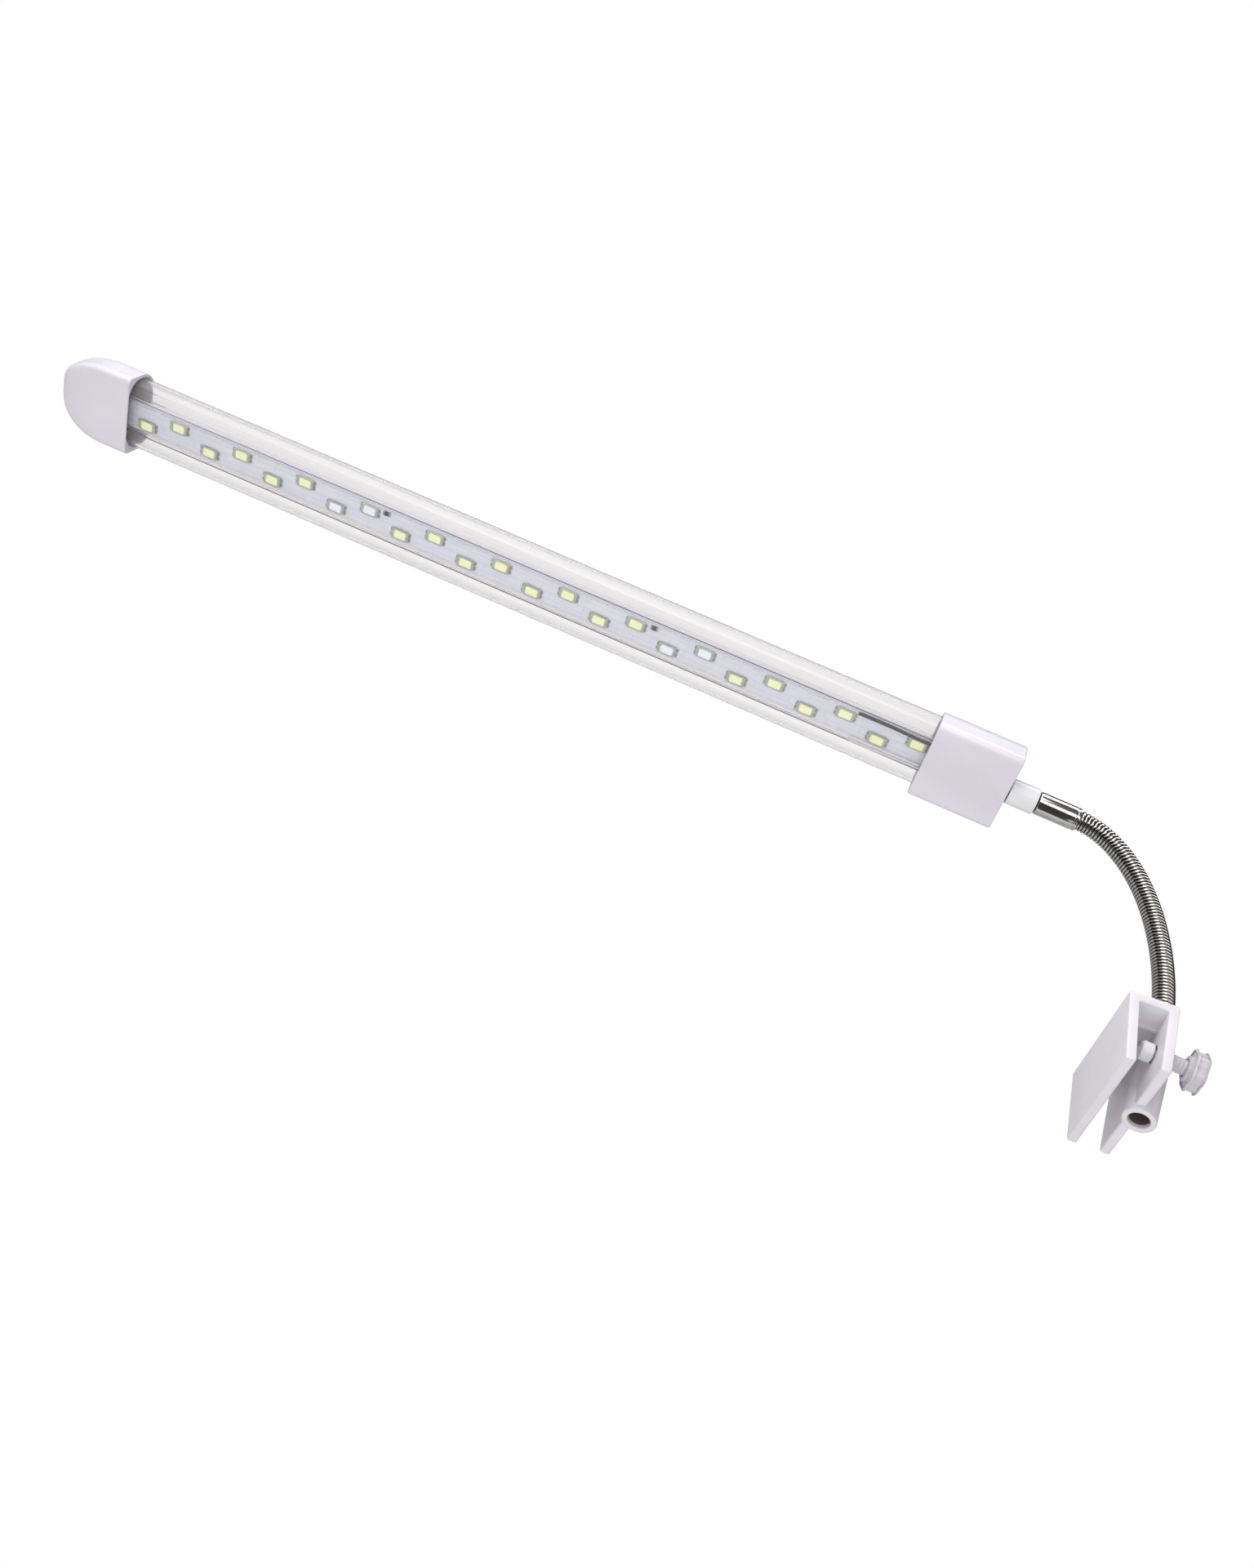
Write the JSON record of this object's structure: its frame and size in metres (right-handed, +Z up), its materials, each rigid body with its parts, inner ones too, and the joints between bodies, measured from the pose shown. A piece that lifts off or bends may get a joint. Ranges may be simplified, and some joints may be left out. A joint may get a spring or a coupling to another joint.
{
  "type": "led aquarium light",
  "caption": "Clip-on aquarium light: a slim clear-tube light bar with two staggered rows of lamps on a bendable chrome neck, held by a white U-shaped screw clamp.",
  "frame": {"origin": "middle of the clamp's front jaw face, the face that lies on the inside of the tank wall", "axes": "+Z up; +Y through the tank wall's thickness, from the front jaw to the screw leg, so the light bar reaches out along -Y with its lamps facing down; +X along the jaw's width, towards the thumbscrew's side"},
  "size_m": [0.0412, 0.3307, 0.1159],
  "materials": {
    "white_plastic": "glossy, faintly lilac white",
    "clear_acrylic": "clear, polished",
    "board": "solder-masked laminate, satin",
    "white_led": "yellow-green phosphor in a white package",
    "blue_led": "clear lens in a white package",
    "resistor": "matt black",
    "chrome": "bright plated, wound strip",
    "lead_black": "black insulation",
    "lead_white": "white insulation"
  },
  "bodies": {
    "clamp": {"clamp_body": "white_plastic", "neck_link_01": "chrome"},
    "neck_02": {"neck_link_02": "chrome"},
    "neck_03": {"neck_link_03": "chrome"},
    "neck_04": {"neck_link_04": "chrome"},
    "neck_05": {"neck_link_05": "chrome"},
    "neck_06": {"neck_link_06": "chrome"},
    "neck_07": {"neck_link_07": "chrome"},
    "neck_08": {"neck_link_08": "chrome"},
    "neck_09": {"neck_link_09": "chrome"},
    "neck_10": {"neck_link_10": "chrome"},
    "neck_11": {"neck_link_11": "chrome"},
    "neck_12": {"neck_link_12": "chrome"},
    "neck_end": {"neck_link_13": "chrome", "neck_ferrule": "chrome"},
    "light_bar": {"light_tube": "clear_acrylic", "end_cap_far": "white_plastic", "end_cap_near": "white_plastic", "neck_collar": "white_plastic", "led_board": "board", "led_01": "white_led", "led_02": "white_led", "led_03": "white_led", "led_04": "white_led", "led_05": "white_led", "led_06": "white_led", "led_07": "blue_led", "led_08": "blue_led", "led_09": "white_led", "led_10": "white_led", "led_11": "white_led", "led_12": "white_led", "led_13": "white_led", "led_14": "white_led", "led_15": "white_led", "led_16": "white_led", "led_17": "blue_led", "led_18": "blue_led", "led_19": "white_led", "led_20": "white_led", "led_21": "white_led", "led_22": "white_led", "led_23": "white_led", "led_24": "white_led", "resistor_1": "resistor", "resistor_2": "resistor", "lead_black": "lead_black", "lead_white": "lead_white"},
    "pad": {"pressure_pad": "white_plastic"},
    "screw": {"screw_shaft": "white_plastic", "screw_knob": "white_plastic"}
  },
  "joints": [
    {"name": "neck_bend_1", "type": "hinge", "parent": "clamp", "child": "neck_02", "pos_m": [-0.00002, 0.01086, 0.0156], "axis": [0.999, 0.0454, 0], "range_deg": [-9, 9]},
    {"name": "neck_sway_1", "type": "hinge", "parent": "neck_02", "child": "neck_03", "pos_m": [-0.00004, 0.01136, 0.0215], "axis": [0.0453, -0.9975, 0.0537], "range_deg": [-8, 8]},
    {"name": "neck_bend_2", "type": "hinge", "parent": "neck_03", "child": "neck_04", "pos_m": [-0.00005, 0.0115, 0.02743], "axis": [0.999, 0.0454, 0], "range_deg": [-9, 9]},
    {"name": "neck_sway_2", "type": "hinge", "parent": "neck_04", "child": "neck_05", "pos_m": [-0.00004, 0.01129, 0.03335], "axis": [0.0453, -0.9969, -0.0651], "range_deg": [-8, 8]},
    {"name": "neck_bend_3", "type": "hinge", "parent": "neck_05", "child": "neck_06", "pos_m": [-0.00001, 0.01073, 0.03924], "axis": [0.999, 0.0454, 0], "range_deg": [-9, 9]},
    {"name": "neck_sway_3", "type": "hinge", "parent": "neck_06", "child": "neck_07", "pos_m": [0.00003, 0.0098, 0.04509], "axis": [0.0445, -0.981, -0.1886], "range_deg": [-8, 8]},
    {"name": "neck_bend_4", "type": "hinge", "parent": "neck_07", "child": "neck_08", "pos_m": [0.00009, 0.00848, 0.05087], "axis": [0.999, 0.0454, 0], "range_deg": [-9, 9]},
    {"name": "neck_sway_4", "type": "hinge", "parent": "neck_08", "child": "neck_09", "pos_m": [0.00017, 0.00673, 0.05653], "axis": [0.0427, -0.9404, -0.3375], "range_deg": [-8, 8]},
    {"name": "neck_bend_5", "type": "hinge", "parent": "neck_09", "child": "neck_10", "pos_m": [0.00027, 0.00445, 0.06199], "axis": [0.999, 0.0454, 0], "range_deg": [-9, 9]},
    {"name": "neck_sway_5", "type": "hinge", "parent": "neck_10", "child": "neck_11", "pos_m": [0.00041, 0.00151, 0.06713], "axis": [0.0376, -0.8269, -0.561], "range_deg": [-8, 8]},
    {"name": "neck_bend_6", "type": "hinge", "parent": "neck_11", "child": "neck_12", "pos_m": [0.00058, -0.00225, 0.07169], "axis": [0.999, 0.0454, 0], "range_deg": [-9, 9]},
    {"name": "neck_sway_6", "type": "hinge", "parent": "neck_12", "child": "neck_end", "pos_m": [0.00079, -0.007, 0.07519], "axis": [0.021, -0.4628, -0.8862], "range_deg": [-8, 8]},
    {"name": "bar_swivel", "type": "hinge", "parent": "neck_end", "child": "light_bar", "pos_m": [0.00105, -0.01264, 0.07685], "axis": [-0.0453, 0.9968, -0.0663], "range_deg": [-90, 90]},
    {"name": "pad_slide", "type": "slide", "parent": "clamp", "child": "pad", "axis": [0, -0.9969, 0.0785], "range_m": [0, 0.0025]},
    {"name": "screw_turn", "type": "hinge", "parent": "pad", "child": "screw", "pos_m": [0.0094, 0.00802, 0.00068], "axis": [0, -0.9969, 0.0785], "range_deg": [0, 900]}
  ],
  "couplings": [
    {"joint": "neck_bend_2", "follows": "neck_bend_1", "ratio": 1},
    {"joint": "neck_sway_2", "follows": "neck_sway_1", "ratio": 1},
    {"joint": "neck_bend_3", "follows": "neck_bend_1", "ratio": 1},
    {"joint": "neck_sway_3", "follows": "neck_sway_1", "ratio": 1},
    {"joint": "neck_bend_4", "follows": "neck_bend_1", "ratio": 1},
    {"joint": "neck_sway_4", "follows": "neck_sway_1", "ratio": 1},
    {"joint": "neck_bend_5", "follows": "neck_bend_1", "ratio": 1},
    {"joint": "neck_sway_5", "follows": "neck_sway_1", "ratio": 1},
    {"joint": "neck_bend_6", "follows": "neck_bend_1", "ratio": 1},
    {"joint": "neck_sway_6", "follows": "neck_sway_1", "ratio": 1},
    {"joint": "screw_turn", "follows": "pad_slide", "rad_per_m": 6283.2}
  ]
}
